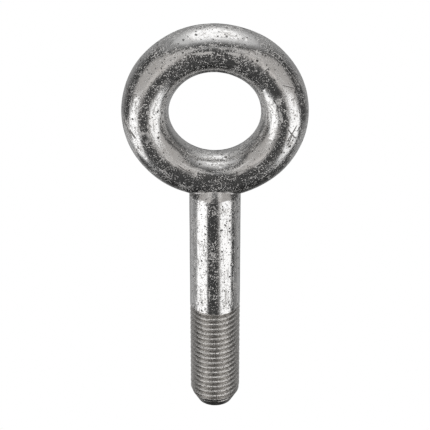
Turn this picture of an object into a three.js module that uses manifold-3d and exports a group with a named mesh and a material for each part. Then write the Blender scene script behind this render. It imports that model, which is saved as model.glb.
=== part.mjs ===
// Forged lifting eye bolt, M30 x 3.5, plain pattern (no collar): a round-section ring eye, a short
// tapered neck, a plain shank and a rolled thread with a chamfered, flat-ended point.
// Millimetres, +Z up. The origin is the centre of the flat end face of the thread, so the shank
// axis is the Z axis, and the eye lies in the XZ plane with its hole running along Y.
//
// The real bolt is one forging. Its four regions are kept as four solids that meet face to face:
// eye_ring, neck, shank and threaded_end.
import * as THREE from "three";
import { mergeVertices } from "three/addons/utils/BufferGeometryUtils.js";
import Module from "manifold-3d";

const wasm = await Module();
wasm.setup();

// Driving dimensions.
const SHANK_DIAMETER = 30;
const PITCH = 3.5; // coarse pitch for M30
const THREAD_LENGTH = 70; // from the flat end face to the start of the plain shank
const LENGTH_UNDER_EYE = 144.5; // from the flat end face to the bottom of the ring
const EYE_BORE = 52.5; // clear diameter of the eye
const EYE_SECTION = 27; // diameter of the ring's round section
const POINT_DIAMETER = 21; // flat end face
const POINT_ANGLE = THREE.MathUtils.degToRad(30); // between the point's cone and the axis
const NECK_RIM_ABOVE_EYE_BOTTOM = 2.7; // where the neck starts to close in
const NECK_ANGLE = THREE.MathUtils.degToRad(27); // between the neck's tapered side and the axis
const NECK_TOP_DIAMETER = 13; // of the taper before it is cut away, deep inside the ring's section
const NECK_BASE_BELOW_EYE_BOTTOM = 2; // the neck's flat lower face, which the shank butts against
const RUNOUT_TURNS = 1.5; // turns over which the thread groove fades into the shank

// What follows from them.
const shankRadius = SHANK_DIAMETER / 2;
const sectionRadius = EYE_SECTION / 2;
const ringRadius = EYE_BORE / 2 + sectionRadius; // axis of the ring's round section
const eyeBottom = LENGTH_UNDER_EYE;
const eyeCentre = eyeBottom + sectionRadius + ringRadius;
const neckRim = eyeBottom + NECK_RIM_ABOVE_EYE_BOTTOM;
const neckBase = eyeBottom - NECK_BASE_BELOW_EYE_BOTTOM;
const neckTopRadius = NECK_TOP_DIAMETER / 2;
const neckTop = neckRim + (shankRadius - neckTopRadius) / Math.tan(NECK_ANGLE);
const pointRadius = POINT_DIAMETER / 2;
const pointLength = (shankRadius - pointRadius) / Math.tan(POINT_ANGLE);

// ISO metric external thread profile, from the pitch.
const DEPTH_PER_PITCH = 0.6134;
const CREST_PER_PITCH = 1 / 8;
const FLANK_ANGLE = THREE.MathUtils.degToRad(30); // between a flank and the plane across the axis
const threadDepth = DEPTH_PER_PITCH * PITCH;
const crestFlat = CREST_PER_PITCH * PITCH;
const rootFlat = PITCH - crestFlat - 2 * threadDepth * Math.tan(FLANK_ANGLE);
const flankLength = (PITCH - crestFlat - rootFlat) / 2; // along the axis
const rootRadius = shankRadius - threadDepth;

// Facets: every round piece on the shank axis has the same number of sides, a multiple of four,
// so that butting faces are the same polygon and the widths along X and Y are the true diameter.
const SIDES = 32;
const RING_STEPS = 72;
const RING_SIDES = 24;

const forgedSteel = { color: 0xa8a6a2, roughness: 0.28, metalness: 1 };

// A mesh's geometry as a manifold-3d solid.
function toSolid(geometry) {
  const bare = geometry.clone();
  for (const name of ["normal", "uv"]) bare.deleteAttribute(name);
  const merged = mergeVertices(bare, 1e-4);
  return new wasm.Manifold(
    new wasm.Mesh({
      numProp: 3,
      vertProperties: new Float32Array(merged.attributes.position.array),
      triVerts: new Uint32Array(merged.index.array),
    }),
  );
}

// A manifold-3d solid as a three.js geometry.
function toGeometry(solid) {
  const { vertProperties, triVerts } = solid.getMesh();
  const geometry = new THREE.BufferGeometry();
  geometry.setAttribute("position", new THREE.BufferAttribute(vertProperties, 3));
  geometry.setIndex(new THREE.BufferAttribute(triVerts, 1));
  geometry.computeVertexNormals();
  return geometry;
}

// A closed solid of revolution about Z. The profile is [radius, z] pairs from the lower end of
// the axis to its upper end.
function turned(profile) {
  const points = profile.map(([radius, z]) => new THREE.Vector2(radius, z));
  return new THREE.LatheGeometry(points, SIDES).rotateX(Math.PI / 2);
}

// The ring: its round section swept round the Y axis.
function eyeRing() {
  const torus = new THREE.TorusGeometry(ringRadius, sectionRadius, RING_SIDES, RING_STEPS);
  return torus.rotateX(Math.PI / 2).translate(0, 0, eyeCentre);
}

// The neck: a short stub that tapers towards the ring and is cut to sit on its round section.
function neck() {
  const stub = turned([
    [0, neckBase],
    [shankRadius, neckBase],
    [shankRadius, neckRim],
    [neckTopRadius, neckTop],
    [0, neckTop],
  ]);
  return toGeometry(toSolid(stub).subtract(toSolid(eyeRing())));
}

function shank() {
  return turned([
    [0, THREAD_LENGTH],
    [shankRadius, THREAD_LENGTH],
    [shankRadius, neckBase],
    [0, neckBase],
  ]);
}

// An endless screw, long enough to pass both ends of the thread: four points of the thread
// profile (crest, crest, root, root) walk up a right-handed helix, and the strips between them
// and the next turn close the surface. Its two ends are closed by fans from the axis.
function screw(fromZ, toZ) {
  const corners = [
    [shankRadius, 0],
    [shankRadius, crestFlat],
    [rootRadius, crestFlat + flankLength],
    [rootRadius, crestFlat + flankLength + rootFlat],
  ];
  const turns = Math.ceil((toZ - fromZ) / PITCH) + 1;
  const steps = turns * SIDES;
  const last = corners.length - 1;
  const positions = [];
  for (let step = 0; step <= steps; step++) {
    const angle = (step / SIDES) * 2 * Math.PI;
    const rise = fromZ + (step / SIDES) * PITCH;
    for (const [radius, along] of corners)
      positions.push(radius * Math.cos(angle), radius * Math.sin(angle), rise + along);
  }
  const at = (step, corner) => step * corners.length + corner;
  const indices = [];
  const quad = (a, b, c, d) => indices.push(a, b, c, a, c, d);
  for (let step = 0; step < steps; step++) {
    for (let c = 0; c < last; c++)
      quad(at(step, c), at(step + 1, c), at(step + 1, c + 1), at(step, c + 1));
    if (step + SIDES < steps)
      quad(at(step, last), at(step + 1, last), at(step + SIDES + 1, 0), at(step + SIDES, 0));
  }
  // The free edge at each end, in order, is closed by a fan from a point on the axis.
  const fan = (edge, z) => {
    const centre = positions.length / 3;
    positions.push(0, 0, z);
    edge.forEach((v, i) => indices.push(centre, edge[(i + 1) % edge.length], v));
  };
  const lower = [];
  for (let step = 0; step <= SIDES; step++) lower.push(at(step, 0));
  for (let c = last; c > 0; c--) lower.push(at(0, c));
  fan(lower, fromZ);
  const upper = [];
  for (let step = steps; step >= steps - SIDES; step--) upper.push(at(step, last));
  for (let c = 0; c < last; c++) upper.push(at(steps, c));
  fan(upper, fromZ + turns * PITCH + PITCH);
  const geometry = new THREE.BufferGeometry();
  geometry.setAttribute("position", new THREE.Float32BufferAttribute(positions, 3));
  geometry.setIndex(indices);
  return geometry;
}

// The threaded end: the screw, faded out below the shank by a run-out cone, and trimmed by the
// flat end face, the conical point and the plane where the plain shank starts. The cone starts
// buried below the thread's root and ends past the trimming plane. The trimming solid stands clear
// of the thread's crests, so that it cuts nothing between the point and the shank.
function threadedEnd() {
  const buried = 2; // the cone's start, in run-out lengths from the shank and thread depths down
  const coneStart = THREAD_LENGTH - buried * RUNOUT_TURNS * PITCH;
  const fade = turned([
    [0, coneStart],
    [shankRadius - buried * threadDepth, coneStart],
    [shankRadius, THREAD_LENGTH],
    [shankRadius, THREAD_LENGTH + PITCH],
    [0, THREAD_LENGTH + PITCH],
  ]);
  const clear = PITCH;
  const trim = turned([
    [0, 0],
    [pointRadius, 0],
    [shankRadius + clear, pointLength + clear / Math.tan(POINT_ANGLE)],
    [shankRadius + clear, THREAD_LENGTH],
    [0, THREAD_LENGTH],
  ]);
  const threaded = toSolid(screw(-2 * PITCH, THREAD_LENGTH + 2 * PITCH)).add(toSolid(fade));
  return toGeometry(threaded.intersect(toSolid(trim)));
}

const pieces = {
  eye_ring: eyeRing(),
  neck: neck(),
  shank: shank(),
  threaded_end: threadedEnd(),
};

const eyeBolt = new THREE.Group();
for (const [name, geometry] of Object.entries(pieces)) {
  const mesh = new THREE.Mesh(geometry, new THREE.MeshStandardMaterial(forgedSteel));
  mesh.name = name;
  eyeBolt.add(mesh);
}

export default eyeBolt;
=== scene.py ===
# The looks of a forged lifting eye bolt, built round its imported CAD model. Metres, +Z up, eye in XZ.
import math

import bpy
import numpy as np
from mathutils import Matrix, Vector


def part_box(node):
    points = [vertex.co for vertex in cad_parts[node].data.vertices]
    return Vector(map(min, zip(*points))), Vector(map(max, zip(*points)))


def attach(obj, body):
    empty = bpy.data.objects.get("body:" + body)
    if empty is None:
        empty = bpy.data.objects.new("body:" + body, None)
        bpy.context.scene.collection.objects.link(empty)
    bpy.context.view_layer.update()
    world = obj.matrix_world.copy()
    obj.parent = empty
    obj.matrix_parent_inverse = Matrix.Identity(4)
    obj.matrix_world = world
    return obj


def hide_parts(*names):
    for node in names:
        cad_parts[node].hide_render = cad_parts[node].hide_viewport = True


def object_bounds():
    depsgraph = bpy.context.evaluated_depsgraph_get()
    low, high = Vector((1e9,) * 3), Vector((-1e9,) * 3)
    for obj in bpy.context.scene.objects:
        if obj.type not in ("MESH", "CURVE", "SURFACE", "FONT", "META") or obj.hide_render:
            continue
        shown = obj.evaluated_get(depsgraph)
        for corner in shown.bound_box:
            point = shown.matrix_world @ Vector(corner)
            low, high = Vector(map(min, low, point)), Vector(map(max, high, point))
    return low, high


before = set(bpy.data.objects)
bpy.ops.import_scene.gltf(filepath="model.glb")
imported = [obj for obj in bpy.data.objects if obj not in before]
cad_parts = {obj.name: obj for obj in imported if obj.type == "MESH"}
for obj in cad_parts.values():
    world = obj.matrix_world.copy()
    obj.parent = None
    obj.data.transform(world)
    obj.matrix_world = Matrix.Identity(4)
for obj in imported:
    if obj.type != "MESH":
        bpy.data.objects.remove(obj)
cad_low, cad_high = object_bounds()

MM = 0.001

# ---------------------------------------------------------------- sizes, from the frame
ring_low, ring_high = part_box("eye_ring")
shank_low, shank_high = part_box("shank")

SECTION_RADIUS = (ring_high.y - ring_low.y) / 2  # of the ring's round section
RING_RADIUS = (ring_high.x - ring_low.x) / 2 - SECTION_RADIUS  # axis of the round section
EYE_CENTRE = (ring_low.z + ring_high.z) / 2
EYE_BOTTOM = ring_low.z
SHANK_RADIUS = (shank_high.x - shank_low.x) / 2
THREAD_TOP = shank_low.z
NECK_BASE = shank_high.z

# Sizes that a box doesn't give, the same as in the CAD model.
NECK_RIM = EYE_BOTTOM + 2.7 * MM  # where the neck starts to close in
NECK_ANGLE = math.radians(27)
PITCH = 3.5 * MM
THREAD_DEPTH = 0.6134 * PITCH  # ISO metric external thread
CREST_FLAT = PITCH / 8
FLANK_ANGLE = math.radians(30)
RUNOUT = 1.5 * PITCH  # over which the groove fades into the shank
POINT_RADIUS = 10.5 * MM
POINT_ANGLE = math.radians(30)

# Softened edges.
NECK_FILLET = 1.0 * MM
CREST_ROUND = 0.1 * MM
ROOT_ROUND = 0.25 * MM
POINT_ROUND = 0.25 * MM
SINK = 0.3 * MM  # how far the neck reaches into the ring's underside

SEED = 30
rng = np.random.default_rng(SEED)


# ---------------------------------------------------------------- camera
CAMERA_ELEVATION = math.radians(30.05)
CAMERA_DISTANCE = 1.0221
CAMERA_LENS = 145.8  # millimetres, as is the sensor
CAMERA_SENSOR = 36
AIM_BELOW_EYE = 67.7 * MM
CAMERA_TARGET = Vector((0, 0, EYE_CENTRE - AIM_BELOW_EYE))


def make_camera():
    """Straight in front of the bolt and above it, as in the photo."""
    camera = bpy.data.objects.new("camera", bpy.data.cameras.new("camera"))
    camera.data.lens = CAMERA_LENS
    camera.data.sensor_width = CAMERA_SENSOR
    back = Vector((0, -math.cos(CAMERA_ELEVATION), math.sin(CAMERA_ELEVATION)))
    camera.location = CAMERA_TARGET + CAMERA_DISTANCE * back
    camera.rotation_euler = back.to_track_quat("Z", "Y").to_euler()
    bpy.context.scene.collection.objects.link(camera)
    bpy.context.scene.camera = camera


# ---------------------------------------------------------------- smooth helpers on arrays
def soft_max(a, b, width):
    """The larger of a and b, with a rounded corner of about that width where they meet."""
    return (a + b + np.sqrt((a - b) ** 2 + width**2)) / 2


def soft_min(a, b, width):
    """The smaller of a and b, with the same rounded corner."""
    return -soft_max(-a, -b, width)


# ---------------------------------------------------------------- the forged surface
class Ripple:
    """A gentle random height over space: plane waves of one wavelength in random directions."""

    def __init__(self, wavelength, height, waves=24):
        directions = rng.normal(size=(waves, 3))
        directions /= np.linalg.norm(directions, axis=1, keepdims=True)
        self.turns = directions.T * 2 * math.pi / wavelength
        self.phases = rng.uniform(0, 2 * math.pi, waves)
        self.height = height * math.sqrt(2 / waves)

    def at(self, points):
        return self.height * np.sin(points @ self.turns + self.phases).sum(-1)


class Dents:
    """Shallow round dents of mixed sizes, scattered over a surface."""

    def __init__(self, centres, radii, depth_share):
        self.centres, self.radii = centres, radii
        self.depths = radii * depth_share

    def at(self, points):
        height = np.zeros(len(points))
        for centre, radius, depth in zip(self.centres, self.radii, self.depths):
            apart = ((points - centre) ** 2).sum(-1) / radius**2
            near = apart < 1
            height[near] = np.minimum(height[near], -depth * (1 - apart[near]) ** 2)
        return height


def ring_point(around, section):
    """A point of the ring: around is the angle round the eye, section the angle round its section."""
    reach = RING_RADIUS + SECTION_RADIUS * np.cos(section)
    across = SECTION_RADIUS * np.sin(section)
    height = EYE_CENTRE + reach * np.sin(around)
    return np.stack([reach * np.cos(around), across + 0 * around, height], axis=-1)


def round_point(radius, angle, height):
    """A point on a round bar about the Z axis."""
    return np.stack([radius * np.cos(angle), radius * np.sin(angle), height], axis=-1)


SMALLEST_DENT = 0.55 * MM
DENT_SPREAD = 1.1 * MM  # from the smallest dent's radius to the largest's
DENT_DEPTH_SHARE = 0.09  # of its radius
RING_DENTS = 420
BAR_DENTS = 90


def dent_sizes(count):
    """Radii of mostly small dents, with a few large ones."""
    return SMALLEST_DENT + DENT_SPREAD * rng.random(count) ** 3


ring_dents = Dents(
    ring_point(*rng.uniform(0, 2 * math.pi, (2, RING_DENTS))),
    dent_sizes(RING_DENTS),
    DENT_DEPTH_SHARE,
)
bar_dents = Dents(
    round_point(
        SHANK_RADIUS,
        rng.uniform(0, 2 * math.pi, BAR_DENTS),
        rng.uniform(THREAD_TOP, NECK_RIM, BAR_DENTS),
    ),
    dent_sizes(BAR_DENTS),
    DENT_DEPTH_SHARE,
)
broad = Ripple(wavelength=26 * MM, height=0.07 * MM)
fine = Ripple(wavelength=6 * MM, height=0.008 * MM)
TURNED = 0.2  # waviness of the turned shank, as a share of the forged ring's


def forge(points, normals, dents, waviness=1.0):
    """Moves points along their normals, as the dies, the lathe and wear have left the surface."""
    flat = points.reshape(-1, 3)
    height = waviness * (broad.at(flat) + fine.at(flat)) + dents.at(flat)
    return points + normals * height.reshape(points.shape[:2])[..., None]


# ---------------------------------------------------------------- pieces
SHARP_EDGE = math.radians(50)  # edges that turn by more than this aren't smoothed over
RING_STEPS = 560
SECTION_STEPS = 160
BAR_STEPS = 240
NECK_ROWS = 44
SADDLE_ROWS = 16
SADDLE_HOLE = 0.03  # share of the saddle's width that one flat face closes
SHANK_ROWS = 190
THREAD_STEPS = 232
THREAD_ROWS = 400
HALVINGS = 40  # of the neck's height, when it is found by bisection


def closed_piece(name, points, wrap_rows=False):
    """A closed mesh from rows of points. Columns wrap round; rows wrap round or end in flat caps."""
    rows, columns = points.shape[:2]
    index = np.arange(rows * columns).reshape(rows, columns)
    lower, upper = (index, np.roll(index, -1, axis=0)) if wrap_rows else (index[:-1], index[1:])
    corners = [lower, np.roll(lower, -1, axis=1), np.roll(upper, -1, axis=1), upper]
    faces = np.stack(corners, axis=-1).reshape(-1, 4).tolist()
    if not wrap_rows:
        faces += [index[0, ::-1].tolist(), index[-1].tolist()]
    mesh = bpy.data.meshes.new(name)
    mesh.from_pydata(points.reshape(-1, 3).tolist(), [], faces)
    mesh.shade_smooth()
    mesh.set_sharp_from_angle(angle=SHARP_EDGE)
    piece = bpy.data.objects.new(name, mesh)
    bpy.context.scene.collection.objects.link(piece)
    return piece


def steps(count):
    """Angles round a full turn, without the last one, as a row."""
    return np.arange(count)[None, :] * 2 * math.pi / count


def make_ring():
    around, section = steps(RING_STEPS).T, steps(SECTION_STEPS)
    points = ring_point(around, section)
    outward = np.stack(
        [
            np.cos(section) * np.cos(around),
            np.sin(section) + 0 * around,
            np.cos(section) * np.sin(around),
        ],
        axis=-1,
    )
    return closed_piece("forged_ring", forge(points, outward, ring_dents), wrap_rows=True)


def ring_underside(x, y):
    """Height of the ring's lower surface above a point of the XY plane."""
    across = np.minimum(np.abs(y), SECTION_RADIUS)
    reach = RING_RADIUS + np.sqrt(SECTION_RADIUS**2 - across**2)
    return EYE_CENTRE - np.sqrt(reach**2 - x**2)


def neck_radius(height):
    """The shank's radius at the base, closing in above the softened rim."""
    closed = soft_max(height - NECK_RIM, 0, NECK_FILLET)
    closed -= soft_max(NECK_BASE - NECK_RIM, 0, NECK_FILLET)
    return SHANK_RADIUS - math.tan(NECK_ANGLE) * closed


def make_neck():
    angle = steps(BAR_STEPS)
    # The height at which each side of the neck runs into the ring, by bisection.
    low, high = np.full(angle.shape, NECK_BASE), np.full(angle.shape, NECK_RIM + SECTION_RADIUS)
    for _ in range(HALVINGS):
        middle = (low + high) / 2
        x, y, _z = np.moveaxis(round_point(neck_radius(middle), angle, middle), -1, 0)
        under = middle < ring_underside(x, y) + SINK
        low, high = np.where(under, middle, low), np.where(under, high, middle)
    share = np.linspace(0, 1, NECK_ROWS)[:, None]
    height = NECK_BASE + share * (low - NECK_BASE)
    side = round_point(neck_radius(height), angle + 0 * height, height)
    outward = round_point(1 + 0 * height, angle + 0 * height, 0 * height)
    side = forge(side, outward, bar_dents, TURNED)
    # The saddle that the ring sits in.
    shrink = np.linspace(1, SADDLE_HOLE, SADDLE_ROWS)[1:, None]
    x, y = side[-1:, :, 0] * shrink, side[-1:, :, 1] * shrink
    saddle = np.stack([x, y, ring_underside(x, y) + SINK], axis=-1)
    return closed_piece("forged_neck", np.concatenate([side, saddle]))


def make_shank():
    angle = steps(BAR_STEPS)
    height = np.linspace(THREAD_TOP, NECK_BASE, SHANK_ROWS)[:, None]
    points = round_point(SHANK_RADIUS, angle + 0 * height, height + 0 * angle)
    outward = round_point(1, angle + 0 * height, 0 * height + 0 * angle)
    return closed_piece("turned_shank", forge(points, outward, bar_dents, TURNED))


def thread_radius(angle, height):
    """Radius of the right-hand thread at that angle and height, with its run-out and its point."""
    turn = height / PITCH - angle / (2 * math.pi) - CREST_FLAT / PITCH / 2
    from_crest = np.abs((turn + 0.5) % 1 - 0.5) * PITCH  # along the axis
    flank = SHANK_RADIUS - (from_crest - CREST_FLAT / 2) / math.tan(FLANK_ANGLE)
    ridge = soft_min(flank, SHANK_RADIUS + 0 * flank, CREST_ROUND)
    grooved = soft_max(ridge, SHANK_RADIUS - THREAD_DEPTH, ROOT_ROUND)
    runout = SHANK_RADIUS - THREAD_DEPTH * (THREAD_TOP - height) / RUNOUT
    faded = np.maximum(grooved, runout)
    point = POINT_RADIUS + height * math.tan(POINT_ANGLE)
    return soft_min(faded, point, POINT_ROUND)


def make_thread():
    angle = steps(THREAD_STEPS)
    height = np.linspace(0, THREAD_TOP, THREAD_ROWS)[:, None]
    radius = thread_radius(angle, height)
    worn = fine.at(round_point(radius, angle + 0 * height, height + 0 * angle))
    points = round_point(radius + worn, angle + 0 * height, height + 0 * angle)
    return closed_piece("threaded_bar", points)


# ---------------------------------------------------------------- shader nodes
class Nodes:
    """Short calls for building a node tree."""

    def __init__(self, tree):
        self.tree = tree

    def add(self, kind, inputs=None, **settings):
        made = self.tree.nodes.new("ShaderNode" + kind)
        for key, value in settings.items():
            setattr(made, key, value)
        for key, value in (inputs or {}).items():
            self.feed(made.inputs[key], value)
        return made

    def feed(self, socket, value):
        if isinstance(value, bpy.types.NodeSocket):
            self.tree.links.new(value, socket)
        else:
            socket.default_value = value

    def math(self, operation, *values):
        return self.add("Math", dict(enumerate(values)), operation=operation).outputs[0]

    def ramp(self, value, low, high):
        """0 below low and 1 above high, smoothly."""
        inputs = {"Value": value, "From Min": low, "From Max": high}
        return self.add("MapRange", inputs, interpolation_type="SMOOTHSTEP").outputs["Result"]


class Metal(Nodes):
    """A metal's material. Lengths in its nodes are millimetres."""

    def __init__(self, name):
        self.material = bpy.data.materials.new(name)
        self.material.use_nodes = True
        super().__init__(self.material.node_tree)
        place = self.add("TexCoord").outputs["Object"]
        scale = self.add("VectorMath", {0: place, "Scale": 1 / MM}, operation="SCALE")
        self.place = scale.outputs[0]

    def noise(self, size, detail=2.0, roughness=0.5, place=None):
        """Noise from 0 to 1, with features of about that size."""
        inputs = {
            "Vector": place or self.place,
            "Scale": 1 / size,
            "Detail": detail,
            "Roughness": roughness,
        }
        return self.add("TexNoise", inputs).outputs["Fac"]

    def blend(self, share, first, second):
        mix = self.add("Mix", data_type="RGBA")
        for key, value in {"Factor": share, "A": first, "B": second}.items():
            self.feed(next(s for s in mix.inputs if s.name == key and s.enabled), value)
        return next(s for s in mix.outputs if s.enabled)

    def scratches(self, tilt, length, width, sparse):
        """Thin broken lines, in planes turned by tilt (degrees)."""
        turn = {
            "Vector": self.place,
            "Rotation": [math.radians(a) for a in tilt],
            "Scale": (1 / length, 1 / width, 1 / length),
        }
        lines = self.noise(1.0, detail=0.0, place=self.add("Mapping", turn).outputs[0])
        return self.ramp(lines, sparse, sparse + 0.03)

    def gouge(self, centre, across, length, width):
        """One straight scratch about a point of the surface, thin in the direction across."""
        away = self.add("VectorMath", {0: self.place, 1: centre}, operation="SUBTRACT").outputs[0]
        side = self.add("VectorMath", {0: away, 1: across}, operation="DOT_PRODUCT").outputs["Value"]
        reach = self.add("VectorMath", {0: away}, operation="LENGTH").outputs["Value"]
        outside = self.ramp(self.math("ABSOLUTE", side), 0.3 * width, 0.6 * width)
        beyond = self.ramp(reach, 0.3 * length, 0.5 * length)
        return self.math("SUBTRACT", 1.0, self.math("MAXIMUM", outside, beyond))

    def spots(self, cell, share, reach):
        """Ragged spots, one in the middle of some cells of that size."""
        ragged = self.add("TexNoise", {"Vector": self.place, "Scale": 4 / cell}).outputs["Color"]
        shift = self.add("VectorMath", {0: ragged, "Scale": 0.55 * cell}, operation="SCALE")
        bent = self.add("VectorMath", {0: self.place, 1: shift.outputs[0]}, operation="ADD")
        cells = self.add("TexVoronoi", {"Vector": bent.outputs[0], "Scale": 1 / cell})
        chance = self.add("SeparateColor", {"Color": cells.outputs["Color"]}).outputs[0]
        size = self.math("MULTIPLY", self.ramp(chance, 1 - share, 1.0), reach)
        return self.ramp(self.math("SUBTRACT", size, cells.outputs["Distance"]), 0.0, 0.08)

    def finish(self, colour, roughness, height, depth):
        """Feeds the shader; height from 0 to 1 stands for that depth of relief, in metres."""
        shader = self.tree.nodes["Principled BSDF"]
        bump = self.add("Bump", {"Height": height, "Distance": depth})
        self.feed(shader.inputs["Base Color"], colour)
        self.feed(shader.inputs["Roughness"], roughness)
        self.feed(shader.inputs["Normal"], bump.outputs[0])
        self.feed(shader.inputs["Metallic"], 1.0)
        return self.material


# ---------------------------------------------------------------- the two metals
CLEAN_STEEL = (0.68, 0.675, 0.67, 1)
STAINED_STEEL = (0.58, 0.565, 0.55, 1)
BLOTCHED_STEEL = (0.36, 0.35, 0.34, 1)
FROSTED_STEEL = (0.9, 0.89, 0.875, 1)
SCORED_STEEL = (0.42, 0.41, 0.4, 1)
PIT_FLOOR = (0.2, 0.195, 0.19, 1)
# Painted shade: the thread's groove colour, darker than its crests.
GROOVE_PAINTED_SHADE = (0.62, 0.605, 0.585, 1)
CREST_STEEL = (0.88, 0.86, 0.835, 1)
THREAD_SPECK = (0.22, 0.21, 0.2, 1)

STEEL_RELIEF = 0.5 * MM
THREAD_RELIEF = 0.08 * MM
SCRATCH_WIDTH = 0.45  # of the fine scratches, in millimetres
GOUGE_WIDTH = 0.75  # of the long scratches, in millimetres
SCATTERED_GOUGES = 16


def long_scratches():
    """Centre, thin direction and length of each long scratch on the ring, in millimetres."""
    # Two that cross on the front of the ring's right side, and a third just below them.
    crossing = ring_point(math.radians(-10), math.radians(-72)) / MM
    marks = [
        (crossing, Vector((0.85, 0.1, -0.5)).normalized(), 14),
        (crossing, Vector((0.8, 0.1, 0.6)).normalized(), 11),
        (crossing - np.array([1, 0, 4]), Vector((0.9, 0.1, -0.35)).normalized(), 9),
    ]
    for around, section in rng.uniform(0, 2 * math.pi, (SCATTERED_GOUGES, 2)):
        across = Vector(rng.normal(size=3)).normalized()
        marks.append((ring_point(around, section) / MM, across, rng.uniform(7, 16)))
    return marks


def forged_steel():
    """Bright worn steel: smooth between patches of etched, pitted and scratched metal."""
    nodes = Metal("forged_steel")
    cloud = nodes.noise(11, detail=4.0, roughness=0.62)
    patchy = nodes.ramp(cloud, 0.38, 0.62)
    clumps = nodes.ramp(nodes.noise(3.5, detail=2.0), 0.4, 0.62)
    grain = nodes.noise(0.8, detail=2.0, roughness=0.6)

    # Frosted grains, closer together in the patches and clumps.
    dense = nodes.math("MULTIPLY_ADD", patchy, 0.085, nodes.math("MULTIPLY", clumps, 0.065))
    frosted = nodes.math("ADD", nodes.math("SUBTRACT", grain, 0.665), dense)
    frosted = nodes.ramp(frosted, 0.0, 0.05)

    pits = nodes.math("MAXIMUM", nodes.spots(2.4, 0.38, 0.34), nodes.spots(1.2, 0.3, 0.4))
    blotches = nodes.spots(5, 0.35, 0.26)

    # Scratches, mostly where the surface is patchy.
    scratch = nodes.scratches((20, 0, 35), 12, SCRATCH_WIDTH, 0.73)
    for tilt, length in (((0, 50, 100), 9), ((60, 20, -40), 15), ((80, -35, 10), 10)):
        lines = nodes.scratches(tilt, length, SCRATCH_WIDTH, 0.735)
        scratch = nodes.math("MAXIMUM", scratch, lines)
    scratch = nodes.math("MULTIPLY", scratch, patchy)

    # Long scratches, which are dark where the metal mirrors a light.
    gouges = 0.0
    for centre, across, length in long_scratches():
        gouges = nodes.math("MAXIMUM", gouges, nodes.gouge(centre, across, length, GOUGE_WIDTH))
    rough_marks = nodes.math("MAXIMUM", nodes.math("MAXIMUM", frosted, scratch), gouges)

    stain = nodes.ramp(nodes.noise(5, detail=4.0, roughness=0.7), 0.5, 0.75)
    clean = nodes.blend(stain, CLEAN_STEEL, STAINED_STEEL)
    dulled = nodes.blend(blotches, clean, BLOTCHED_STEEL)
    marked = nodes.blend(rough_marks, dulled, FROSTED_STEEL)
    scored = nodes.blend(gouges, marked, SCORED_STEEL)
    colour = nodes.blend(pits, scored, PIT_FLOOR)

    _x, _y, z = nodes.add("SeparateXYZ", {0: nodes.place}).outputs
    ring = nodes.ramp(z, NECK_BASE / MM, NECK_RIM / MM)  # duller than the turned shank
    roughness = nodes.math("MULTIPLY_ADD", cloud, 0.08, 0.12)
    roughness = nodes.math("MULTIPLY_ADD", ring, 0.04, roughness)
    roughness = nodes.math("MULTIPLY_ADD", blotches, 0.22, roughness)
    roughness = nodes.math("MULTIPLY_ADD", rough_marks, 0.52, roughness)
    roughness = nodes.math("MULTIPLY_ADD", pits, 0.3, roughness)

    height = nodes.math("MULTIPLY_ADD", rough_marks, -0.1, nodes.math("MULTIPLY", grain, 0.04))
    height = nodes.math("MULTIPLY_ADD", pits, -0.3, height)
    return nodes.finish(colour, roughness, height, STEEL_RELIEF)


def rolled_thread():
    """Duller steel than the shank, with painted shade low in the groove and bright worn crests."""
    nodes = Metal("rolled_thread")
    x, y, _z = nodes.add("SeparateXYZ", {0: nodes.place}).outputs
    squares = nodes.math("ADD", nodes.math("MULTIPLY", x, x), nodes.math("MULTIPLY", y, y))
    radius = nodes.math("SQRT", squares)
    cloud = nodes.noise(5, detail=4.0, roughness=0.65)
    grain = nodes.noise(0.5, detail=2.0, roughness=0.6)

    # The worn crest band, and with it the painted shade of the groove below it, is wider in some
    # places than in others.
    uneven = nodes.math("MULTIPLY_ADD", cloud, 0.8, radius)
    crest = nodes.ramp(uneven, SHANK_RADIUS / MM - 0.55, SHANK_RADIUS / MM + 0.35)
    specks = nodes.ramp(grain, 0.56, 0.6)
    # Painted shade: the groove takes a darker copy of the steel than the crest, lighter towards the
    # outside of the thread.
    metal = nodes.blend(crest, GROOVE_PAINTED_SHADE, CREST_STEEL)
    colour = nodes.blend(specks, metal, THREAD_SPECK)

    roughness = nodes.math("MULTIPLY_ADD", cloud, 0.3, 0.12)
    roughness = nodes.math("MULTIPLY_ADD", specks, 0.15, roughness)
    height = nodes.math("MULTIPLY_ADD", specks, -0.5, grain)
    return nodes.finish(colour, roughness, height, THREAD_RELIEF)


# ---------------------------------------------------------------- studio
LIGHT_DISTANCE = 3.0
FLOOR_HALF = 20.0
BOLT_MIDDLE = (cad_low + cad_high) / 2
WARM = (1.0, 0.96, 0.925)
WHITE = (1.0, 1.0, 1.0)


def direction(azimuth, elevation):
    """Azimuth 0 points at the camera's side (-Y) and 90 along +X. Degrees."""
    a, e = math.radians(azimuth), math.radians(elevation)
    return Vector((math.sin(a) * math.cos(e), -math.cos(a) * math.cos(e), math.sin(e)))


def softbox(name, azimuth, elevation, width, height, radiance, colour=WHITE, roll=0, ellipse=False):
    """A flat soft light. width and height are the angles that it fills, seen from the bolt."""
    light = bpy.data.lights.new(name, "AREA")
    light.shape = "ELLIPSE" if ellipse else "RECTANGLE"
    light.size = 2 * LIGHT_DISTANCE * math.tan(math.radians(width / 2))
    light.size_y = 2 * LIGHT_DISTANCE * math.tan(math.radians(height / 2))
    area = light.size * light.size_y * (math.pi / 4 if ellipse else 1)
    light.energy = math.pi * area * radiance
    light.color = colour
    box = bpy.data.objects.new(name, light)
    away = direction(azimuth, elevation)
    box.location = BOLT_MIDDLE + LIGHT_DISTANCE * away
    turn = Matrix.Rotation(math.radians(roll), 3, "Z")
    box.rotation_euler = (away.to_track_quat("Z", "Y").to_matrix() @ turn).to_euler()
    box.visible_camera = False
    bpy.context.scene.collection.objects.link(box)


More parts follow.
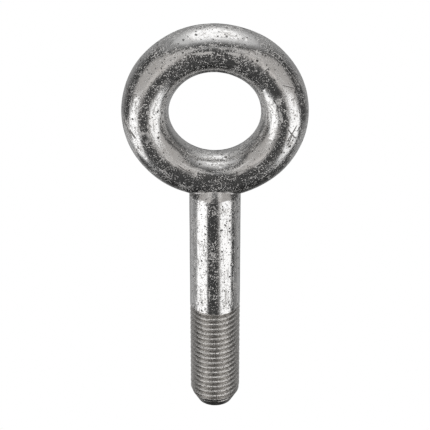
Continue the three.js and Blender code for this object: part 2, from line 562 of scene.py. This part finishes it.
def make_lights():
    """Soft boxes over the bolt, low on both sides of it, and in front."""
    softbox("overhead_core", 180, 84, 48, 60, 0.75, ellipse=True)
    softbox("overhead_soft", 180, 87, 78, 76, 0.45, ellipse=True)
    softbox("overhead_rim", 180, 86, 102, 100, 0.22, ellipse=True)
    softbox("left_key", -61, -32, 36, 54, 1.52, roll=-50, ellipse=True)
    softbox("right_key", 50, -29, 49, 38, 1.42, roll=-15, ellipse=True)
    softbox("left_panel", -45, 11, 58, 47, 0.48, WARM)
    softbox("right_panel", 44, 11, 58, 47, 0.48, WARM)
    softbox("left_inner", -26, -4, 12, 40, 0.25, WARM)
    softbox("right_inner", 20, -8, 11, 50, 0.35, WARM)
    softbox("left_low", -112, -38, 44, 22, 0.3)
    softbox("right_low", 118, -38, 36, 22, 0.2)
    softbox("front_line", -5, 28, 70, 4, 0.8)


def make_world():
    """A dark room with a grey wall behind the bolt; only the camera sees the white backdrop."""
    world = bpy.data.worlds.new("studio")
    world.use_nodes = True
    world.node_tree.nodes.clear()
    nodes = Nodes(world.node_tree)
    way = nodes.add("TexCoord").outputs["Generated"]
    x, y, z = nodes.add("SeparateXYZ", {0: way}).outputs
    # The wall has a dark gap, low down in its middle.
    beside_gap = nodes.ramp(nodes.math("ABSOLUTE", x), 0.05, 0.3)
    above_gap = nodes.ramp(z, -0.15, 0.05)
    outside_gap = nodes.math("MAXIMUM", beside_gap, above_gap)
    wall = nodes.math("MULTIPLY", nodes.ramp(y, 0.25, 0.75), outside_gap)
    level = nodes.math("MULTIPLY_ADD", wall, 0.3, 0.057)
    # It is darker still right below the bolt.
    below = nodes.math("MULTIPLY_ADD", nodes.ramp(z, -1.0, -0.8), 0.7, 0.3)
    level = nodes.math("MULTIPLY", level, below)
    room = nodes.add("Background", {"Color": (1, 1, 1, 1), "Strength": level}).outputs[0]
    backdrop = nodes.add("Background", {"Color": (1, 1, 1, 1)}).outputs[0]
    seen = nodes.add("LightPath").outputs["Is Camera Ray"]
    shown = nodes.add("MixShader", {0: seen, 1: room, 2: backdrop}).outputs[0]
    nodes.add("OutputWorld", {"Surface": shown})
    bpy.context.scene.world = world


def make_floor():
    """A white light table. It shows only to the camera, and not at all from below."""
    signs = [(-1, -1), (1, -1), (1, 1), (-1, 1)]
    corners = [(x * FLOOR_HALF, y * FLOOR_HALF, cad_low.z) for x, y in signs]
    mesh = bpy.data.meshes.new("floor")
    mesh.from_pydata(corners, [], [(0, 1, 2, 3)])
    material = bpy.data.materials.new("floor")
    material.use_nodes = True
    material.node_tree.nodes.clear()
    nodes = Nodes(material.node_tree)
    glow = nodes.add("Emission").outputs[0]
    clear = nodes.add("BsdfTransparent").outputs[0]
    below = nodes.add("NewGeometry").outputs["Backfacing"]
    shown = nodes.add("MixShader", {0: below, 1: glow, 2: clear}).outputs[0]
    nodes.add("OutputMaterial", {"Surface": shown})
    mesh.materials.append(material)
    floor = bpy.data.objects.new("floor", mesh)
    for ray in ("glossy", "diffuse", "transmission", "shadow", "volume_scatter"):
        setattr(floor, "visible_" + ray, False)
    bpy.context.scene.collection.objects.link(floor)


# ---------------------------------------------------------------- the scene
make_camera()
make_floor()
make_world()
make_lights()
bpy.context.scene.view_settings.view_transform = "Standard"

STEEL, THREAD_STEEL = forged_steel(), rolled_thread()
for make, node, slot, material in (
    (make_ring, "eye_ring", "forged_steel", STEEL),
    (make_neck, "neck", "forged_steel", STEEL),
    (make_shank, "shank", "forged_steel", STEEL),
    (make_thread, "threaded_end", "rolled_thread", THREAD_STEEL),
):
    piece = make()
    piece.data.materials.append(material)
    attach(piece, "root")
    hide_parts(node)
